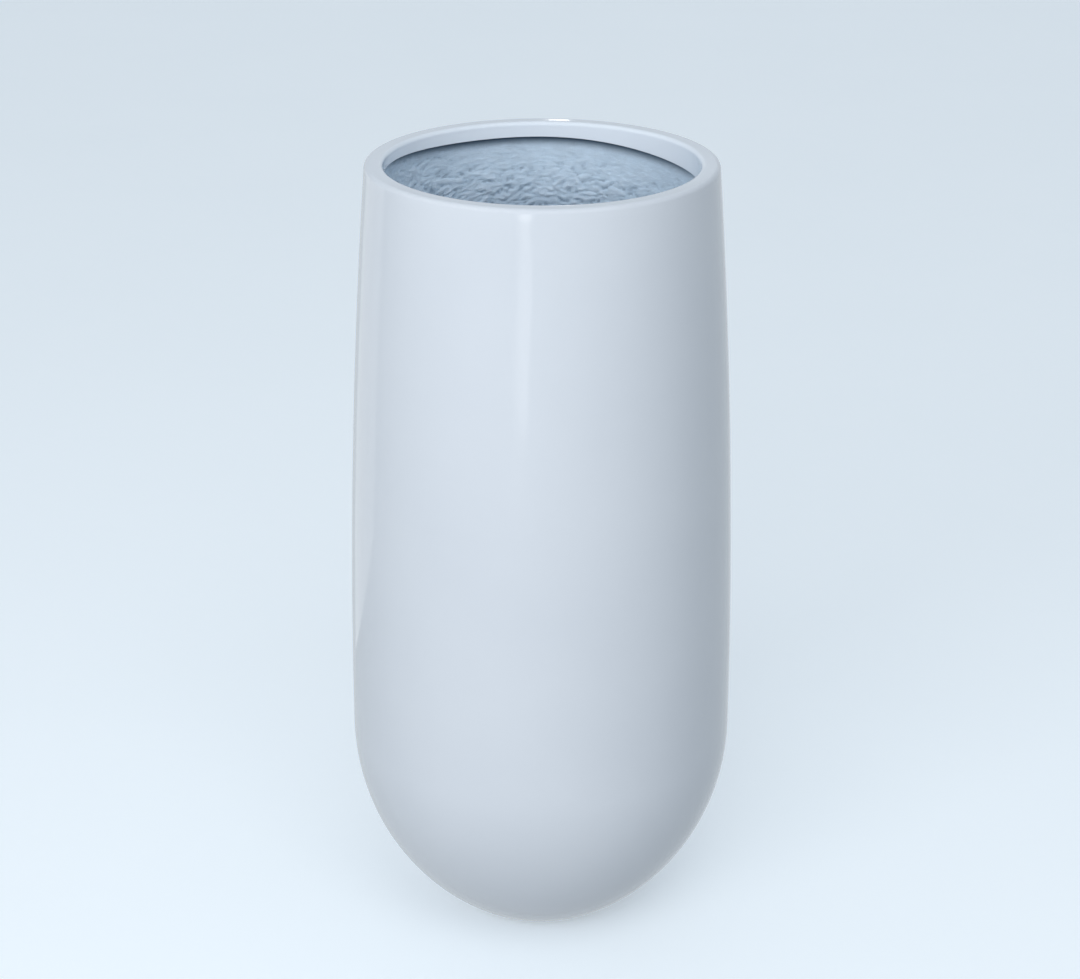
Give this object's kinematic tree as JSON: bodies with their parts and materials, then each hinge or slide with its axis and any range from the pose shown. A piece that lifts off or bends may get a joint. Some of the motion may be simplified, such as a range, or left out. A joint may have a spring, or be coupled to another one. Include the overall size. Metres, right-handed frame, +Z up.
{
  "type": "fiberglass planter",
  "caption": "Tall round planter with a slim rounded foot, a belly low down, a flat rolled rim with a return lip, a rough laminate lining, a weighted base and a plugged drain.",
  "frame": {"origin": "on the ground, under the centre of the foot", "axes": "+Z up along the planter's own axis; -Y is the front, the side that the picture shows; +X is to the right in that view"},
  "size_m": [0.4, 0.4, 0.82],
  "materials": {
    "shell_gelcoat": "polished high-gloss white gelcoat",
    "rim_filler": "trowelled resin filler",
    "laminate": "rough hand-laid glass fibre laminate, painted over",
    "ballast": "cast sand and resin",
    "floor_laminate": "rough laminate, painted over",
    "tube_plastic": "grey drain plastic",
    "plug_rubber": "moulded black rubber",
    "pad_rubber": "matte black rubber"
  },
  "bodies": {
    "vessel": {"gloss_shell": "shell_gelcoat", "rim_core": "rim_filler", "laminate_lining": "laminate", "ballast_block": "ballast", "inner_floor": "floor_laminate", "drain_tube": "tube_plastic", "foot_pad_1": "pad_rubber", "foot_pad_2": "pad_rubber", "foot_pad_3": "pad_rubber", "foot_pad_4": "pad_rubber"},
    "plug": {"drain_plug": "plug_rubber"}
  },
  "joints": [
    {"name": "plug_pull", "type": "slide", "parent": "vessel", "child": "plug", "axis": [0, 0, 1], "range_m": [0, 0.79]}
  ]
}
